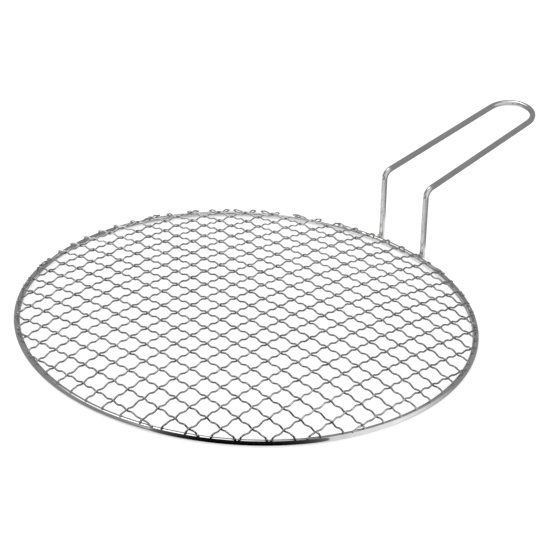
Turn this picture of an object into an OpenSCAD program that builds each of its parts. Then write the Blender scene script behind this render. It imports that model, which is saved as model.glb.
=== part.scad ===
// Round woven-wire grill net with a welded U-shaped carrying handle.
//
// A round wire rim carries a shallow dome of two sets of crimped wires, woven over and under one
// another. One bent wire makes the handle: two legs stand up outside the rim, turn outward and
// join in a long narrow grip loop. The rim's centre is on the Z axis, its underside is at z = 0,
// and the grip points along +Y. All sizes are in millimetres.

/* [Rim] */
// Outside diameter of the rim
rim_outer_d = 300; // [260:5:340]
// Diameter of the rim wire
rim_wire_d = 4; // [3.5:0.1:5]

/* [Woven mesh] */
// Number of wires in each direction
wire_count = 22; // [18:2:22]
// Distance between neighbouring warp wires, which run along X
warp_pitch = 13.3; // [11:0.1:13.4]
// Distance between neighbouring weft wires, which run along Y
weft_pitch = 13.2; // [11:0.1:13.4]
// Diameter of a mesh wire
mesh_wire_d = 1.2; // [0.9:0.05:1.2]
// Height of the crimp waves, from the trough's centreline to the crest's
crimp_height = 1.22; // [1.1:0.02:1.6]
// How far the weave sits off the rim's centre along X
mesh_shift_x = 0.4; // [-2:0.1:2]
// How far the weave sits off the rim's centre along Y
mesh_shift_y = 1; // [-2:0.1:2]
// Turn of the weave about the rim's axis, which is zero when the weft wires point along the handle
mesh_turn = 0.8; // [-3:0.1:3]
// Rise of the dome above the rim
dome_rise = 12; // [6:0.5:20]
// Share of the rise that comes from the steep turn-down next to the rim
dome_edge_share = 0.22; // [0:0.01:0.4]
// Extra rise on the +X half, as a slope across the dome
dome_lean = 2; // [0:0.5:3]

/* [Handle] */
// Diameter of the handle wire
handle_wire_d = 4; // [3.5:0.1:5]
// Distance between the two legs
leg_spacing = 37.3; // [30:0.1:44]
// Width of the loop where the tip arc starts
tip_width = 33.6; // [26:0.1:37]
// Height of the bends above the underside of the rim
bend_height = 52.5; // [40:0.5:70]
// Radius of the bend at the top of each leg
bend_radius = 6; // [5:0.5:12]
// Lean of the legs toward the mesh
leg_lean = 2.4; // [0:0.1:6]
// Rise of the grip toward its tip
grip_slope = 9.2; // [0:0.1:20]
// Reach of the grip from the bends to the tip
grip_reach = 126.6; // [90:0.1:160]

/* [Welds] */
// Diameter of the spot weld under each wire end
spot_weld_d = 1.5; // [1.2:0.1:2]
// Diameter of the weld bead between each leg and the rim
leg_weld_d = 4.4; // [3.6:0.1:5]

/* [Hidden] */
$fn = 64;
warp_names = [for (k = [1 : wire_count]) str("warp_wire_", k)];
weft_names = [for (k = [1 : wire_count]) str("weft_wire_", k)];

rim_r = (rim_outer_d - rim_wire_d) / 2;
rim_z = rim_wire_d / 2;

// The wires are drawn with a square section that has the area of the round wire.
wire_side = mesh_wire_d * sqrt(PI) / 2;
contact_gap = 0.02;
seat_z = rim_wire_d + wire_side / 2 + contact_gap;
// Each wire runs a little past the crown of the rim.
end_r = rim_r + 1.2;
// Three half waves lie between one crossing and the next.
waves_per_pitch = 3;
crest_flat = 0.55 * mesh_wire_d;
// The waves die out over this distance before the rim.
fade_length = 6;
end_clear = 2 * crest_flat;

// Height of the dome's surface over the rim at (x, y) of the weave's own frame
function dome_z(x, y) =
    let (q = min(1, (x * x + y * y) / (rim_r * rim_r)))
    (1 - q) * (dome_rise * (1 - dome_edge_share) + dome_lean * x / rim_r)
    + dome_rise * dome_edge_share * (1 - pow(q, 4));

// How strong the waves are at (x, y): 1 over the mesh, 0 on the rim
function wave_strength(x, y) = max(0, min(1, (rim_r - norm([x, y])) / fade_length));

// Distance of wire k of the weave from the middle, for a given pitch and shift
function wire_offset(k, pitch, shift) = (k - (wire_count + 1) / 2) * pitch + shift;

// Half the length of a wire that lies at a distance from the middle
function half_chord(offset) = sqrt(end_r * end_r - offset * offset);

// Crests and troughs of one wire as [position along it, 1 for up or -1 for down]
function crests(offset, pitch, shift, up_first) =
    let (
        step = pitch / waves_per_pitch,
        first = wire_offset(1, pitch, shift),
        reach = half_chord(offset) - end_clear
    )
    [
        for (n = [-2 * waves_per_pitch : (wire_count + 1) * waves_per_pitch])
        let (u = first + n * step)
        if (abs(u) < reach) [u, ((n + 2 * waves_per_pitch) % 2 == 0) == up_first ? 1 : -1]
    ];

// Centreline heights: wires along X and wires along Y share one rule, with x and y swapped
function wave_z(u, offset, sign, along_x) =
    let (x = along_x ? u : offset, y = along_x ? offset : u)
    seat_z + dome_z(x, y) + sign * crimp_height / 2 * wave_strength(x, y);

function centreline(offset, pitch, shift, up_first, along_x) =
    let (reach = half_chord(offset), peaks = crests(offset, pitch, shift, up_first))
    concat(
        [[-reach, seat_z]],
        [
            for (p = peaks, side = [-1, 1])
            [p[0] + side * crest_flat, wave_z(p[0], offset, p[1], along_x)]
        ],
        [[reach, seat_z]]
    );

// One crimped wire lying along X at a distance from the middle
module crimped_wire(offset, pitch, shift, up_first, along_x) {
    line = centreline(offset, pitch, shift, up_first, along_x);
    last = len(line) - 1;
    outline = concat(
        [for (p = line) [p[0], p[1] + wire_side / 2]],
        [for (i = [last : -1 : 0]) [line[i][0], line[i][1] - wire_side / 2]]
    );
    translate([0, offset + wire_side / 2, 0])
        rotate([90, 0, 0])
            linear_extrude(height = wire_side)
                polygon(outline);
}

// Warp wire k, along X: at the first crossing, odd wires go over
module warp_wire(k) {
    color("gainsboro")
        rotate([0, 0, mesh_turn])
            crimped_wire(
                wire_offset(k, warp_pitch, mesh_shift_y), weft_pitch, mesh_shift_x, k % 2 == 1, true
            );
}

// Weft wire k, along Y: at the first crossing, odd wires go under
module weft_wire(k) {
    color("silver")
        rotate([0, 0, mesh_turn])
            mirror([1, -1, 0])
                crimped_wire(
                    wire_offset(k, weft_pitch, mesh_shift_x), warp_pitch, mesh_shift_y, k % 2 == 0, false
                );
}

module rim_ring() {
    color("lightgray")
        translate([0, 0, rim_z])
            rotate_extrude()
                translate([rim_r, 0])
                    circle(d = rim_wire_d);
}

// Handle: each leg, its bend and its grip bar lie in one upright plane, turned by the taper.
leg_y = rim_r + (rim_wire_d + handle_wire_d) / 2;
// The feet stay just clear of the surface that the rim rests on
foot_z = 0.3;
// The wire swells a hair where it is bent, and each straight stretch runs a little into its bend.
bend_wire_d = handle_wire_d + 0.04;
bend_overlap = 0.3;
leg_length = (bend_height - foot_z) / cos(leg_lean);
tip_r = tip_width / 2;
tip_centre = grip_reach - tip_r;
half_spacing = leg_spacing / 2;
// Angle by which each bar closes toward the middle, within the grip's plane
tip_taper = acos(tip_r / norm([half_spacing, tip_centre])) - atan2(tip_centre, half_spacing);
bar_length = half_spacing * sin(tip_taper) + tip_centre * cos(tip_taper);
bar_slope = asin(cos(tip_taper) * sin(grip_slope));
plane_turn = atan(tan(tip_taper) / cos(grip_slope));
bend_turn = 90 + leg_lean - bar_slope;
bend_inset = bend_radius * tan(bend_turn / 2);
corner_y = leg_y - leg_length * sin(leg_lean) * cos(plane_turn);

// Leg, bend and bar, with the point where the axes of leg and bar would meet at the origin
module handle_side() {
    rotate([leg_lean, 0, 0]) {
        translate([0, 0, -leg_length])
            cylinder(h = leg_length - bend_inset + bend_overlap, d = handle_wire_d);
        translate([0, bend_radius, -bend_inset])
            rotate([90, 0, -90])
                rotate_extrude(angle = bend_turn)
                    translate([bend_radius, 0])
                        circle(d = bend_wire_d);
    }
    rotate([bar_slope - 90, 0, 0])
        translate([0, 0, bend_inset - bend_overlap])
            cylinder(h = bar_length - bend_inset + 2 * bend_overlap, d = handle_wire_d);
}

module handle() {
    color("silver")
        translate([0, corner_y, bend_height]) {
            for (side = [-1, 1])
                translate([side * half_spacing, 0, 0])
                    rotate([0, 0, side * plane_turn])
                        handle_side();
            rotate([grip_slope, 0, 0])
                translate([0, tip_centre, 0])
                    rotate([0, 0, tip_taper])
                        rotate_extrude(angle = 180 - 2 * tip_taper)
                            translate([tip_r, 0])
                                circle(d = bend_wire_d);
        }
}

// The bead fills the groove between leg and rim from above.
weld_lift = 0.8;

module handle_weld(side) {
    color("darkgray")
        translate([side * leg_spacing / 2, rim_r + rim_wire_d / 2, rim_z + weld_lift])
            sphere(d = leg_weld_d);
}

module handle_weld_left() {
    handle_weld(-1);
}

module handle_weld_right() {
    handle_weld(1);
}

// Ends of one set of wires on the crown of the rim, as [position along the wires, offset]
function wire_ends(pitch, shift) = [
    for (k = [1 : wire_count], end = [-1, 1])
    let (offset = wire_offset(k, pitch, shift))
    [end * sqrt(rim_r * rim_r - offset * offset), offset]
];
warp_ends = wire_ends(warp_pitch, mesh_shift_y);
weft_ends = [for (p = wire_ends(weft_pitch, mesh_shift_x)) [p[1], p[0]]];
// Where a warp wire and a weft wire end at one place, they share a weld.
lone_weft_ends = [for (p = weft_ends) if (min([for (w = warp_ends) norm(p - w)]) > spot_weld_d) p];

// A small nugget under each wire end
module rim_spot_welds() {
    color("darkgray")
        rotate([0, 0, mesh_turn])
            for (p = concat(warp_ends, lone_weft_ends))
                translate([p[0], p[1], rim_wire_d])
                    sphere(d = spot_weld_d);
}

rim_ring();
handle();
handle_weld_left();
handle_weld_right();
rim_spot_welds();
for (k = [1 : wire_count]) warp_wire(k);
for (k = [1 : wire_count]) weft_wire(k);
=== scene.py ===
"""A round woven grill net with a long wire handle, all in bright stainless steel.

The CAD model holds the rim, the handle, the welds and every mesh wire. The mesh wires there have a
square section and straight-sided waves, so each is drawn here as a round crimped wire on the same
line, which turns down onto the rim and is pressed flat on it. The handle gets its worked feet, and
the welds their beads.
"""

import math

import bpy
import numpy as np
from mathutils import Matrix, Vector, noise


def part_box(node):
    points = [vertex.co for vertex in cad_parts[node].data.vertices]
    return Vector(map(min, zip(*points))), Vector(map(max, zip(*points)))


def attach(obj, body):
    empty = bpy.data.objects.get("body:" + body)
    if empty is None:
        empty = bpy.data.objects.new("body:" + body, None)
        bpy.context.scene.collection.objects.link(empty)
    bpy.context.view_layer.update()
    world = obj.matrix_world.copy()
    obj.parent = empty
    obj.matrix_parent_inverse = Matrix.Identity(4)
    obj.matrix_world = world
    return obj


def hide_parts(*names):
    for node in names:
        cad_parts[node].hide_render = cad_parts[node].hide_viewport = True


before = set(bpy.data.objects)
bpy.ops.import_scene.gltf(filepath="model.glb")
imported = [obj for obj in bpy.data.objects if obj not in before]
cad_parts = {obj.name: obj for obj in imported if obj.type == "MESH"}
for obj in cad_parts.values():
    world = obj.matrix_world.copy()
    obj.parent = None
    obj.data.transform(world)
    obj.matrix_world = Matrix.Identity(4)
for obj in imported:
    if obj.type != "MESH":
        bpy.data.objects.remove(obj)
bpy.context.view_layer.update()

MM = 0.001

# ---------------------------------------------------------------- sizes, in metres

rim_low, rim_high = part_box("rim_ring")
RIM_WIRE_R = (rim_high.z - rim_low.z) / 2
RIM_R = (rim_high.x - rim_low.x) / 2 - RIM_WIRE_R
RIM_TOP = rim_high.z

MESH_WIRE_R = 0.6 * MM
# From a wave's trough to its crest
CRIMP_HEIGHT = 1.22 * MM
HALF_WAVES_PER_PITCH = 3
# The waves die out over this distance before the rim.
FADE_LENGTH = 6 * MM
DOME_RISE = 12 * MM
# Share of the rise that comes from the steep turn-down next to the rim
DOME_EDGE_SHARE = 0.22
# Extra rise toward +X, as a slope across the dome
DOME_LEAN = 2 * MM
# The weave is turned a little about the rim's axis.
MESH_TURN = math.radians(0.8)
WEAVE = np.array(
    [
        (math.cos(MESH_TURN), math.sin(MESH_TURN), 0),
        (-math.sin(MESH_TURN), math.cos(MESH_TURN), 0),
        (0, 0, 1),
    ]
)
# The underside of each wire end is fused a hair into the crown of the rim.
WIRE_SINK = 0.05 * MM
SEAT_Z = RIM_TOP + MESH_WIRE_R - WIRE_SINK
# Each wire runs this far past the crown of the rim, and bends down over it.
OVERHANG = 1.2 * MM
# Near its welds each wire is held up, and then turns down onto the rim. The other lengths are
# distances inward from the crown of the rim.
WELD_LIFT = 0.7 * MM
LIFT_BEGINS = -0.6 * MM
LIFT_FULL_FROM = 1 * MM
LIFT_FULL_TO = 1.2 * MM
LIFT_ENDS = 6.2 * MM
# The welding electrode presses the ends wider and not so high, by these shares of the wire's size.
PRESS_LENGTH = 5 * MM
PRESSED_WIDER = 0.28
PRESSED_LOWER = 0.3

HANDLE_WIRE_R = 2 * MM
LEG_SPACING = 37.3 * MM
TIP_R = 16.8 * MM
BEND_HEIGHT = 52.5 * MM
BEND_R = 6 * MM
LEG_LEAN = math.radians(2.4)
GRIP_SLOPE = math.radians(9.2)
GRIP_REACH = 126.6 * MM
FOOT_Z = 0.3 * MM
# Each foot is squeezed a little flat where it is welded to the rim.
FOOT_LENGTH = 9 * MM
FOOT_WIDER = 0.1
FOOT_THINNER = 0.08
FOOT_ROUNDING = 0.5 * MM

# Half the size of a weld along its length, its width and its height
LEG_BEAD_HALF_SIZE = (2.3 * MM, 1.5 * MM, 1.9 * MM)
NUGGET_HALF_SIZE = (0.95 * MM, 0.8 * MM, 0.42 * MM)
# The middle of a nugget is this far above the crown of the rim.
NUGGET_RISE = 0.02 * MM


# ---------------------------------------------------------------- mesh building

def new_piece(name, points, faces, node, material):
    """A smooth-shaded mesh that stands for a CAD node and rides on the root body."""
    mesh = bpy.data.meshes.new(name)
    mesh.from_pydata([tuple(p) for p in points], [], faces)
    mesh.polygons.foreach_set("use_smooth", [True] * len(mesh.polygons))
    mesh.update()
    mesh.materials.append(material)
    piece = bpy.data.objects.new(name, mesh)
    bpy.context.scene.collection.objects.link(piece)
    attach(piece, "root")
    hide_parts(node)
    return piece


def set_wire_place(piece, places):
    """Keeps each point's place on the straight wire: across, up and along, in metres."""
    layer = piece.data.attributes.new("wire_place", "FLOAT_VECTOR", "POINT")
    layer.data.foreach_set("vector", np.asarray(places, np.float32).ravel())


def unit(vectors):
    """Each row of an array of vectors, made one long."""
    return vectors / np.linalg.norm(vectors, axis=1)[:, None]


def distance_along(path):
    """Each point's distance from the start of a path, measured along it."""
    step = np.linalg.norm(np.diff(path, axis=0), axis=1)
    return np.concatenate([[0], np.cumsum(step)])


def tube_mesh(path, across, wide, high, sides, closed=False):
    """Points, faces and wire places of a wire swept along a path.

    across is the direction of the half-axis wide at each point; high is the other half-axis.
    """
    path = np.asarray(path, float)
    count = len(path)
    if closed:
        tangent = np.roll(path, -1, 0) - np.roll(path, 1, 0)
    else:
        tangent = np.gradient(path, axis=0)
    tangent = unit(tangent)
    across = unit(across - (across * tangent).sum(1)[:, None] * tangent)
    up = np.cross(tangent, across)
    turn = np.linspace(0, 2 * math.pi, sides, endpoint=False)
    ring_across = wide[:, None] * np.cos(turn)[None, :]
    ring_up = high[:, None] * np.sin(turn)[None, :]
    points = (
        path[:, None, :]
        + ring_across[:, :, None] * across[:, None, :]
        + ring_up[:, :, None] * up[:, None, :]
    ).reshape(-1, 3)
    along = np.repeat(distance_along(path)[:, None], sides, 1)
    places = np.stack([ring_across, ring_up, along], axis=2).reshape(-1, 3)
    faces = []
    for i in range(count if closed else count - 1):
        here, there = i * sides, ((i + 1) % count) * sides
        for j in range(sides):
            k = (j + 1) % sides
            faces.append((here + j, here + k, there + k, there + j))
    if not closed:
        faces.append(tuple(range(sides - 1, -1, -1)))
        faces.append(tuple((count - 1) * sides + j for j in range(sides)))
    return points, faces, places


def smooth_step(place, none, full):
    """A smooth change from 0 at the place none to 1 at the place full."""
    share = np.clip((place - none) / (full - none), 0, 1)
    return share * share * (3 - 2 * share)


def round_off(amount):
    """Half-axis factor of a rounded end: small at the very end, and 1 where the wire is full."""
    least = 0.02
    return np.sqrt(np.clip(1 - (1 - np.clip(amount, 0, 1)) ** 2, least, 1))


# ---------------------------------------------------------------- the woven mesh

def dome_z(x, y):
    """Height of the dome's surface over the crown of the rim."""
    q = np.minimum(1, (x * x + y * y) / RIM_R**2)
    crown = DOME_RISE * (1 - DOME_EDGE_SHARE) + DOME_LEAN * x / RIM_R
    return (1 - q) * crown + DOME_RISE * DOME_EDGE_SHARE * (1 - q**4)


def wave_strength(x, y):
    """1 over the mesh and 0 on the rim, where the waves have been pressed flat."""
    return smooth_step(RIM_R - np.hypot(x, y), 0, FADE_LENGTH)


def drop_past_crown(x, y):
    """How far a wire has bent down, once it is past the crown, to follow the round of the rim."""
    past = np.clip(np.hypot(x, y) - RIM_R, 0, OVERHANG)
    bend_r = RIM_WIRE_R + MESH_WIRE_R
    return bend_r - np.sqrt(bend_r**2 - past**2)


def lift_before_weld(inward):
    """How far a wire is held up at this distance along it, inward from the crown of the rim."""
    near_rim = smooth_step(inward, LIFT_BEGINS, LIFT_FULL_FROM)
    near_mesh = smooth_step(inward, LIFT_ENDS, LIFT_FULL_TO)
    return WELD_LIFT * near_rim * near_mesh


class WireSet:
    """The warp wires, along X of the weave, or the weft wires, along Y.

    Each wire's offset is the distance of its CAD box's middle from the rim's axis.
    """

    def __init__(self, kind, along):
        self.along = along
        self.side = 1 - along
        names = [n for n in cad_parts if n.startswith(kind)]
        self.names = sorted(names, key=lambda n: int(n.rsplit("_", 1)[1]))
        sideways = Vector(WEAVE[self.side])
        boxes = [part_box(n) for n in self.names]
        self.offsets = [sideways.dot((low + high) / 2) for low, high in boxes]


def ring_places(reach, pitch):
    """Places of a mesh wire's rings along it, from -reach to reach."""
    rings_per_half_wave = 6
    step = pitch / HALF_WAVES_PER_PITCH / rings_per_half_wave
    count = 2 * math.ceil(reach / step) + 1
    even = np.linspace(-reach, reach, count)
    # Extra rings near both ends draw the rounded cut and the turn down onto the rim.
    from_end = MESH_WIRE_R * np.array([0.06, 0.2, 0.45, 0.75, 1.2, 1.8, 2.4, 3, 3.7, 4.6])
    return np.unique(np.concatenate([even, -reach + from_end, reach - from_end]))


def mesh_wire(own, other, index, material):
    """One crimped wire of a set, which crosses the wires of the other set."""
    offset = own.offsets[index]
    reach = math.sqrt((RIM_R + OVERHANG) ** 2 - offset**2)
    first = other.offsets[0]
    pitch = (other.offsets[-1] - first) / (len(other.offsets) - 1)
    u = ring_places(reach, pitch)
    v = np.full_like(u, offset)
    x, y = (u, v) if own.along == 0 else (v, u)

    # Odd warp wires go over at their first crossing, and odd weft wires go under.
    starts_up = (index % 2 == 0) == (own.along == 0)
    sign = 1 if starts_up else -1
    turns = (u - first) / pitch
    wave = sign * CRIMP_HEIGHT / 2 * np.cos(HALF_WAVES_PER_PITCH * math.pi * turns)
    z = SEAT_Z + dome_z(x, y) + wave * wave_strength(x, y) - drop_past_crown(x, y)
    z = z + lift_before_weld(math.sqrt(RIM_R**2 - offset**2) - np.abs(u))

    from_end = reach - np.abs(u)
    pressed = np.clip(1 - from_end / PRESS_LENGTH, 0, 1) ** 2
    full = round_off(from_end / MESH_WIRE_R)
    wide = MESH_WIRE_R * (1 + PRESSED_WIDER * pressed) * full
    high = MESH_WIRE_R * (1 - PRESSED_LOWER * pressed) * full
    z = z - MESH_WIRE_R * PRESSED_LOWER * pressed

    path = np.stack([x, y, z], 1) @ WEAVE
    across = np.repeat(WEAVE[own.side][None, :], len(path), 0)
    points, faces, places = tube_mesh(path, across, wide, high, sides=12)
    name = own.names[index]
    piece = new_piece(f"{name}_wire", points, faces, name, material)
    set_wire_place(piece, places)


# ---------------------------------------------------------------- rim and handle

def rim(material):
    """The rim ring, drawn finer than the CAD mesh."""
    steps = 480
    turn = np.linspace(0, 2 * math.pi, steps, endpoint=False)
    middle_z = np.full_like(turn, RIM_TOP - RIM_WIRE_R)
    path = np.stack([RIM_R * np.cos(turn), RIM_R * np.sin(turn), middle_z], 1)
    across = np.stack([np.cos(turn), np.sin(turn), np.zeros_like(turn)], 1)
    radius = np.full_like(turn, RIM_WIRE_R)
    points, faces, places = tube_mesh(path, across, radius, radius, sides=32, closed=True)
    piece = new_piece("rim_wire", points, faces, "rim_ring", material)
    set_wire_place(piece, places)


def straight(start, end, step):
    """Points from start to end, without the last one."""
    count = max(1, round((end - start).length / step))
    return [start.lerp(end, i / count) for i in range(count)]


def bend(corner, toward_start, toward_end, radius, count):
    """Points round a corner, whose two sides leave it in the given directions, in count steps."""
    half = toward_start.angle(toward_end) / 2
    middle = (toward_start + toward_end).normalized()
    centre = corner + middle * radius / math.sin(half)
    first = corner + toward_start * radius / math.tan(half) - centre
    last = corner + toward_end * radius / math.tan(half) - centre
    axis = first.cross(last).normalized()
    sweep = first.angle(last)
    turns = [Matrix.Rotation(sweep * i / count, 3, axis) for i in range(count + 1)]
    return [centre + turn @ first for turn in turns]


def handle_path():
    """The handle's centreline from the foot at +X, round the grip, to the foot at -X."""
    leg_y = RIM_R + RIM_WIRE_R + HANDLE_WIRE_R
    leg_length = (BEND_HEIGHT - FOOT_Z) / math.cos(LEG_LEAN)
    half_spacing = LEG_SPACING / 2
    tip_centre = GRIP_REACH - TIP_R
    # Each bar closes toward the middle by this angle, and touches the tip arc where it ends.
    to_tangent = math.acos(TIP_R / math.hypot(half_spacing, tip_centre))
    taper = to_tangent - math.atan2(tip_centre, half_spacing)
    plane_turn = math.atan(math.tan(taper) / math.cos(GRIP_SLOPE))
    corner_y = leg_y - leg_length * math.sin(LEG_LEAN) * math.cos(plane_turn)
    corner = Vector((half_spacing, corner_y, BEND_HEIGHT))
    slope = Matrix.Rotation(GRIP_SLOPE, 3, "X")
    grip_origin = Vector((0, corner_y, BEND_HEIGHT))

    def on_tip(angle):
        across = TIP_R * math.cos(angle)
        out = tip_centre + TIP_R * math.sin(angle)
        return grip_origin + slope @ Vector((across, out, 0))

    leg_turn = Matrix.Rotation(plane_turn, 3, "Z") @ Matrix.Rotation(LEG_LEAN, 3, "X")
    down = leg_turn @ Vector((0, 0, -1))
    foot = corner + down * leg_length
    tip_start = on_tip(taper)
    outward = (tip_start - corner).normalized()
    leg_step, bar_step = 1 * MM, 2 * MM
    bend_steps, tip_steps = 20, 48
    arc = bend(corner, down, outward, BEND_R, bend_steps)
    right = straight(foot, arc[0], leg_step) + arc + straight(arc[-1], tip_start, bar_step)[1:]
    sweep = math.pi - 2 * taper
    tip = [on_tip(taper + sweep * i / tip_steps) for i in range(tip_steps + 1)]
    left = [Vector((-p.x, p.y, p.z)) for p in reversed(right)]
    path = right + tip + left
    return np.array([tuple(p) for p in path])


def carried_across(path, first_across):
    """The direction across a wire, carried along it without twist."""
    across = np.empty_like(path)
    current = np.array(first_across, float)
    for i, t in enumerate(unit(np.gradient(path, axis=0))):
        current = current - (current @ t) * t
        current /= np.linalg.norm(current)
        across[i] = current
    return across


def handle(material):
    """The handle wire, with feet squeezed a little flat where they are welded to the rim."""
    path = handle_path()
    along = distance_along(path)
    from_end = np.minimum(along, along[-1] - along)
    squeezed = smooth_step(from_end, FOOT_LENGTH, 0)
    full = round_off(from_end / FOOT_ROUNDING)
    wide = HANDLE_WIRE_R * (1 + FOOT_WIDER * squeezed) * full
    high = HANDLE_WIRE_R * (1 - FOOT_THINNER * squeezed) * full
    across = carried_across(path, (1, 0, 0))
    points, faces, places = tube_mesh(path, across, wide, high, sides=32)
    piece = new_piece("handle_wire", points, faces, "handle", material)
    set_wire_place(piece, places)


# ---------------------------------------------------------------- welds

def bead(centre, half_size, heading, seed, rings, sides):
    """Points and faces of one lumpy weld bead; heading turns its long side about Z."""
    turned = Matrix.Rotation(heading, 3, "Z")
    lump_height, lumps_per_radius = 0.14, 1.7
    noise_place = Vector((seed, 2.3 * seed, 0))

    def on_bead(polar, turn):
        out = Vector(
            (math.sin(polar) * math.cos(turn), math.sin(polar) * math.sin(turn), math.cos(polar))
        )
        lump = 1 + lump_height * noise.noise(out * lumps_per_radius + noise_place)
        return centre + turned @ Vector([a * b * lump for a, b in zip(out, half_size)])

    points = [on_bead(0, 0)]
    for i in range(1, rings):
        points += [on_bead(math.pi * i / rings, 2 * math.pi * j / sides) for j in range(sides)]
    points.append(on_bead(math.pi, 0))
    last = len(points) - 1
    faces = []
    for j in range(sides):
        k = (j + 1) % sides
        faces.append((0, 1 + j, 1 + k))
        for i in range(rings - 2):
            here, there = 1 + i * sides, 1 + (i + 1) * sides
            faces.append((here + j, there + j, there + k, here + k))
        faces.append((last, last - sides + k, last - sides + j))
    return points, faces


def handle_weld(node, side, material):
    """The bead that fills the groove between one leg and the rim."""
    low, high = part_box(node)
    centre = (low + high) / 2
    points, faces = bead(centre, LEG_BEAD_HALF_SIZE, 0, seed=side * 3.1, rings=24, sides=36)
    new_piece(f"{node}_bead", points, faces, node, material)


def rim_welds(sets, material):
    """A flat nugget under each wire end, on the crown of the rim."""
    points, faces = [], []
    for number, wires in enumerate(sets):
        heading = MESH_TURN + (0 if wires.along == 0 else math.pi / 2)
        for index, offset in enumerate(wires.offsets):
            for end in (-1, 1):
                u = end * math.sqrt(RIM_R**2 - offset**2)
                x, y = (u, offset) if wires.along == 0 else (offset, u)
                centre = Vector(np.array((x, y, RIM_TOP + NUGGET_RISE)) @ WEAVE)
                # No two nuggets have the same seed, so no two have the same lumps.
                seed = 0.37 * index + 11 * number + 5 * end
                own_points, own_faces = bead(
                    centre, NUGGET_HALF_SIZE, heading, seed, rings=8, sides=14
                )
                base = len(points)
                points += own_points
                faces += [tuple(base + corner for corner in face) for face in own_faces]
    new_piece("rim_spot_weld_beads", points, faces, "rim_spot_welds", material)


# ---------------------------------------------------------------- materials

# How fine each pattern is, as noise cells in a metre
LINES_ACROSS = 4500
LINES_ALONG = 60
PATCHES = 90
HEAT_TINTS = 400
WELD_PITS = 2600


def set_stops(color_ramp, stops):
    """Fills a colour ramp with (place, grey) or (place, (r, g, b)) stops, in order of place."""
    elements = color_ramp.elements
    while len(elements) > 1:
        elements.remove(elements[-1])
    for number, (place, value) in enumerate(stops):
        element = elements[0] if number == 0 else elements.new(place)
        element.position = place
        element.color = (*(value if isinstance(value, tuple) else (value,) * 3), 1)


class Nodes:
    """Builds the node tree of one new material."""

    def __init__(self, name):
        self.material = bpy.data.materials.new(name)
        self.material.use_nodes = True
        self.tree = self.material.node_tree
        self.shader = self.tree.nodes["Principled BSDF"]

    def add(self, kind, **settings):
        """A new node, with some of its input values or other settings filled in."""
        node = self.tree.nodes.new(kind)
        for key, value in settings.items():
            if key in node.inputs:
                node.inputs[key].default_value = value
            else:
                setattr(node, key, value)
        return node

    def link(self, source, target):
        self.tree.links.new(source, target)

    def ramp(self, source, stops):
        """The colour that a ramp gives for a value."""
        node = self.tree.nodes.new("ShaderNodeValToRGB")
        set_stops(node.color_ramp, stops)
        self.link(source, node.inputs["Fac"])
        return node.outputs["Color"]

    def scaled(self, source, scale):
        """Texture coordinates with each axis multiplied by its own scale."""
        node = self.tree.nodes.new("ShaderNodeMapping")
        node.inputs["Scale"].default_value = scale
        self.link(source, node.inputs["Vector"])
        return node.outputs["Vector"]


def wire_steel(name, dark, light, rough_low, rough_high, line_depth):
    """Bright drawn steel, with fine lines along the wire and faint patches."""
    n = Nodes(name)
    place = n.add("ShaderNodeAttribute", attribute_name="wire_place").outputs["Vector"]
    spot = n.add("ShaderNodeTexCoord").outputs["Object"]

    lines = n.add("ShaderNodeTexNoise", Scale=1.0, Detail=3.0, Roughness=0.6)
    n.link(n.scaled(place, (LINES_ACROSS, LINES_ACROSS, LINES_ALONG)), lines.inputs["Vector"])
    patches = n.add("ShaderNodeTexNoise", Scale=1.0, Detail=2.0)
    n.link(n.scaled(spot, (PATCHES,) * 3), patches.inputs["Vector"])

    mixed = n.add("ShaderNodeMath", operation="ADD")
    n.link(lines.outputs["Fac"], mixed.inputs[0])
    n.link(patches.outputs["Fac"], mixed.inputs[1])
    mean = n.add("ShaderNodeMath", operation="MULTIPLY")
    mean.inputs[1].default_value = 0.5
    n.link(mixed.outputs[0], mean.inputs[0])

    # Noise seldom strays far from 0.5, so the ramps lie close round it.
    colour = n.ramp(mean.outputs[0], [(0.35, dark), (0.65, light)])
    n.link(colour, n.shader.inputs["Base Color"])
    roughness = n.ramp(mean.outputs[0], [(0.3, rough_high), (0.7, rough_low)])
    n.link(roughness, n.shader.inputs["Roughness"])
    bump = n.add("ShaderNodeBump", Strength=0.35, Distance=line_depth)
    n.link(lines.outputs["Fac"], bump.inputs["Height"])
    n.link(bump.outputs["Normal"], n.shader.inputs["Normal"])
    n.shader.inputs["Metallic"].default_value = 1
    return n.material


def weld_steel(name):
    """Fused steel: duller, slightly straw and blue from the heat, with fine pits."""
    n = Nodes(name)
    spot = n.add("ShaderNodeTexCoord").outputs["Object"]
    tint = n.add("ShaderNodeTexNoise", Scale=1.0, Detail=3.0)
    n.link(n.scaled(spot, (HEAT_TINTS,) * 3), tint.inputs["Vector"])
    pits = n.add("ShaderNodeTexNoise", Scale=1.0, Detail=4.0)
    n.link(n.scaled(spot, (WELD_PITS,) * 3), pits.inputs["Vector"])
    straw, grey, blue = (0.46, 0.42, 0.36), (0.5, 0.5, 0.5), (0.36, 0.38, 0.42)
    colour = n.ramp(tint.outputs["Fac"], [(0.35, straw), (0.5, grey), (0.65, blue)])
    n.link(colour, n.shader.inputs["Base Color"])
    rough_high, rough_low = 0.45, 0.25
    roughness = n.ramp(pits.outputs["Fac"], [(0.3, rough_high), (0.7, rough_low)])
    n.link(roughness, n.shader.inputs["Roughness"])
    bump = n.add("ShaderNodeBump", Strength=0.5, Distance=0.06 * MM)
    n.link(pits.outputs["Fac"], bump.inputs["Height"])
    n.link(bump.outputs["Normal"], n.shader.inputs["Normal"])
    n.shader.inputs["Metallic"].default_value = 1
    return n.material


# ---------------------------------------------------------------- studio

# The room that the steel mirrors is this grey, with soft bright areas in it.
ROOM_GREY = 0.43
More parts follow.
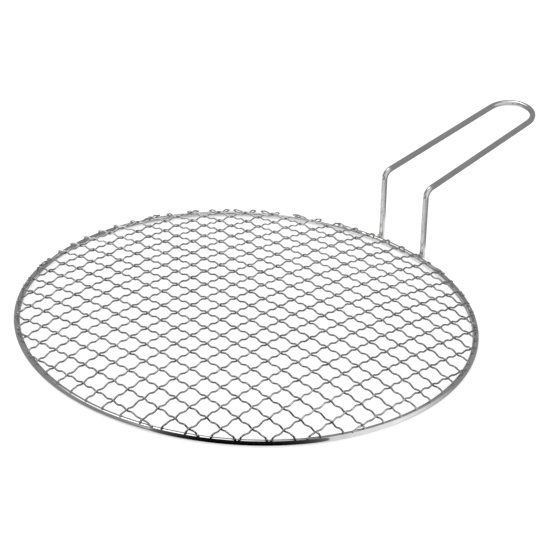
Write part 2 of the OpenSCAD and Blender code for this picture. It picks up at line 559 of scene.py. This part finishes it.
# Each area is an azimuth, an elevation, a brightness, and the angles from its middle within which
# it is full and beyond which it is gone.
BRIGHT_AREAS = [
    # In front, a little to the right of the camera
    (55, 20, 1.15, 41, 66),
    # High up, to the left
    (-72, 61, 2.2, 11, 21),
    # Straight below
    (0, -90, 1.3, 28, 50),
]


def compass(azimuth, elevation=0):
    """The unit direction at an azimuth from -Y toward +X and an elevation, both in degrees."""
    a, e = math.radians(azimuth), math.radians(elevation)
    return Vector((math.cos(e) * math.sin(a), -math.cos(e) * math.cos(a), math.sin(e)))


def floor():
    """A wide pale table top, lit from within so that shadows on it stay faint.

    The steel mirrors the room and the cards, and not the table.
    """
    size, grey, glow = 6, 0.5, 0.62
    bpy.ops.mesh.primitive_plane_add(size=size, location=(0, 0, rim_low.z))
    table = bpy.context.object
    table.name = "studio_floor"
    n = Nodes("pale_table")
    n.shader.inputs["Base Color"].default_value = (grey, grey, grey, 1)
    n.shader.inputs["Roughness"].default_value = 0.9
    n.shader.inputs["Specular IOR Level"].default_value = 0
    n.shader.inputs["Emission Color"].default_value = (1, 1, 1, 1)
    n.shader.inputs["Emission Strength"].default_value = glow
    table.data.materials.append(n.material)
    table.visible_glossy = False


def softbox(name, azimuth, elevation, distance, size, power, mirrored=True):
    """A square soft light that faces the net. One that isn't mirrored doesn't show in the steel."""
    out = compass(azimuth, elevation)
    data = bpy.data.lights.new(name, "AREA")
    data.shape = "SQUARE"
    data.size = size
    data.energy = power
    lamp = bpy.data.objects.new(name, data)
    lamp.location = out * distance
    lamp.rotation_mode = "QUATERNION"
    lamp.rotation_quaternion = out.to_track_quat("Z", "Y")
    lamp.visible_glossy = mirrored
    bpy.context.scene.collection.objects.link(lamp)


def reflected_sheet(name, points, faces, levels):
    """A sheet that shows only in the steel; levels has its brightness at each point."""
    mesh = bpy.data.meshes.new(name)
    mesh.from_pydata(points, [], faces)
    mesh.attributes.new("level", "FLOAT", "POINT").data.foreach_set("value", levels)
    n = Nodes(name)
    level = n.add("ShaderNodeAttribute", attribute_name="level").outputs["Fac"]
    n.shader.inputs["Base Color"].default_value = (0, 0, 0, 1)
    n.shader.inputs["Specular IOR Level"].default_value = 0
    n.shader.inputs["Emission Color"].default_value = (1, 1, 1, 1)
    n.link(level, n.shader.inputs["Emission Strength"])
    mesh.materials.append(n.material)
    sheet = bpy.data.objects.new(name, mesh)
    sheet.visible_camera = False
    sheet.visible_diffuse = False
    sheet.visible_shadow = False
    bpy.context.scene.collection.objects.link(sheet)


def card(name, azimuth, spread, low, high, brightness, end_brightness=None, fade_power=1):
    """A curved card that stands round part of the rim.

    It reaches spread degrees each way from its middle. Its foot is at the height low all along, and
    its top falls from high at the middle to its ends. Its brightness can fade from the middle to
    other values at its two ends, later and faster with a higher fade_power.
    """
    first, last = end_brightness or (brightness, brightness)
    clear_of_rim = 12 * MM
    radius = RIM_R + clear_of_rim
    steps = 24
    points, faces, levels = [], [], []
    for i in range(steps + 1):
        share = 2 * i / steps - 1
        foot = compass(azimuth + spread * share) * radius
        top = low + (high - low) * math.sqrt(1 - share**4)
        points += [foot + Vector((0, 0, low)), foot + Vector((0, 0, top))]
        end = first if share < 0 else last
        levels += [brightness + (end - brightness) * abs(share) ** fade_power] * 2
    for i in range(steps):
        faces.append((2 * i, 2 * i + 2, 2 * i + 3, 2 * i + 1))
    reflected_sheet(name, points, faces, levels)


def flat_card(name, x, y, radius, brightness):
    """A round card that lies just above the table, for the legs of the handle to mirror."""
    steps = 24
    height = rim_low.z + MM
    ring = [compass(360 * i / steps) * radius + Vector((x, y, height)) for i in range(steps)]
    reflected_sheet(name, ring, [range(steps)], [brightness] * steps)


def studio_world():
    """A plain grey room with soft bright areas, one mixed in after another."""
    world = bpy.data.worlds.new("studio")
    bpy.context.scene.world = world
    world.use_nodes = True
    tree = world.node_tree
    direction = tree.nodes.new("ShaderNodeTexCoord").outputs["Generated"]
    room = tree.nodes.new("ShaderNodeRGB").outputs["Color"]
    room.default_value = (ROOM_GREY, ROOM_GREY, ROOM_GREY, 1)
    for azimuth, elevation, brightness, full, gone in BRIGHT_AREAS:
        nearness = tree.nodes.new("ShaderNodeVectorMath")
        nearness.operation = "DOT_PRODUCT"
        nearness.inputs[1].default_value = compass(azimuth, elevation)
        tree.links.new(direction, nearness.inputs[0])
        share = tree.nodes.new("ShaderNodeMapRange")
        share.interpolation_type = "SMOOTHSTEP"
        share.inputs["From Min"].default_value = math.cos(math.radians(gone))
        share.inputs["From Max"].default_value = math.cos(math.radians(full))
        tree.links.new(nearness.outputs["Value"], share.inputs["Value"])
        mix = tree.nodes.new("ShaderNodeMixRGB")
        tree.links.new(share.outputs["Result"], mix.inputs["Fac"])
        tree.links.new(room, mix.inputs["Color1"])
        mix.inputs["Color2"].default_value = (brightness, brightness, brightness, 1)
        room = mix.outputs["Color"]
    tree.links.new(room, tree.nodes["Background"].inputs["Color"])


def camera():
    """The photograph's viewpoint: a long lens, turned a little about its own axis."""
    azimuth, elevation, roll = 42.35, 28.66, math.radians(3.44)
    distance = 1.562
    target = Vector((-0.0286, 0.0557, 0.002))
    back = compass(azimuth, elevation)
    level = compass(azimuth + 90)
    upward = back.cross(level)
    right = level * math.cos(roll) + upward * math.sin(roll)
    up = back.cross(right)
    data = bpy.data.cameras.new("camera")
    data.lens = 152.71
    data.sensor_width = 36
    data.clip_start, data.clip_end = 0.1, 50
    cam = bpy.data.objects.new("camera", data)
    cam.matrix_world = Matrix(
        (
            (right.x, up.x, back.x, 0),
            (right.y, up.y, back.y, 0),
            (right.z, up.z, back.z, 0),
            (0, 0, 0, 1),
        )
    )
    cam.location = target + back * distance
    bpy.context.scene.collection.objects.link(cam)
    bpy.context.scene.camera = cam


# ---------------------------------------------------------------- build

# The mesh steel is coloured darker than the rim's and the handle's: painted shade, for how dark the
# thin wires look in this light.
mesh_steel = wire_steel(
    "mesh_steel", dark=0.22, light=0.42, rough_low=0.12, rough_high=0.22, line_depth=0.02 * MM
)
rim_steel = wire_steel(
    "rim_steel", dark=0.46, light=0.56, rough_low=0.08, rough_high=0.16, line_depth=0.01 * MM
)
handle_steel = wire_steel(
    "handle_steel", dark=0.46, light=0.56, rough_low=0.1, rough_high=0.2, line_depth=0.01 * MM
)
fused_steel = weld_steel("weld_steel")

warp = WireSet("warp_wire_", along=0)
weft = WireSet("weft_wire_", along=1)
for own, other in ((warp, weft), (weft, warp)):
    for index in range(len(own.names)):
        mesh_wire(own, other, index, mesh_steel)
rim(rim_steel)
handle(handle_steel)
handle_weld("handle_weld_left", -1, fused_steel)
handle_weld("handle_weld_right", 1, fused_steel)
rim_welds((warp, weft), fused_steel)

floor()
studio_world()
softbox("overhead", azimuth=-100, elevation=76, distance=2.2, size=1.2, power=8)
softbox("table_fill", azimuth=42, elevation=80, distance=3, size=4, power=26, mirrored=False)
# The front of the rim has a black band, and then a white one further round to the right.
card(
    "black_flag", azimuth=43, spread=24, low=-0.06, high=0.1,
    brightness=0, end_brightness=(0.4, 0.4), fade_power=5,
)
card(
    "white_card", azimuth=86, spread=23, low=-0.06, high=0.06,
    brightness=1.6, end_brightness=(1.2, 0.45),
)
flat_card("table_card", x=-0.015, y=0.105, radius=0.075, brightness=1.3)
# The far part of the rim has a light upper edge.
card("back_card", azimuth=-118, spread=48, low=0, high=0.035, brightness=2.2)
camera()
bpy.context.scene.view_settings.view_transform = "Standard"
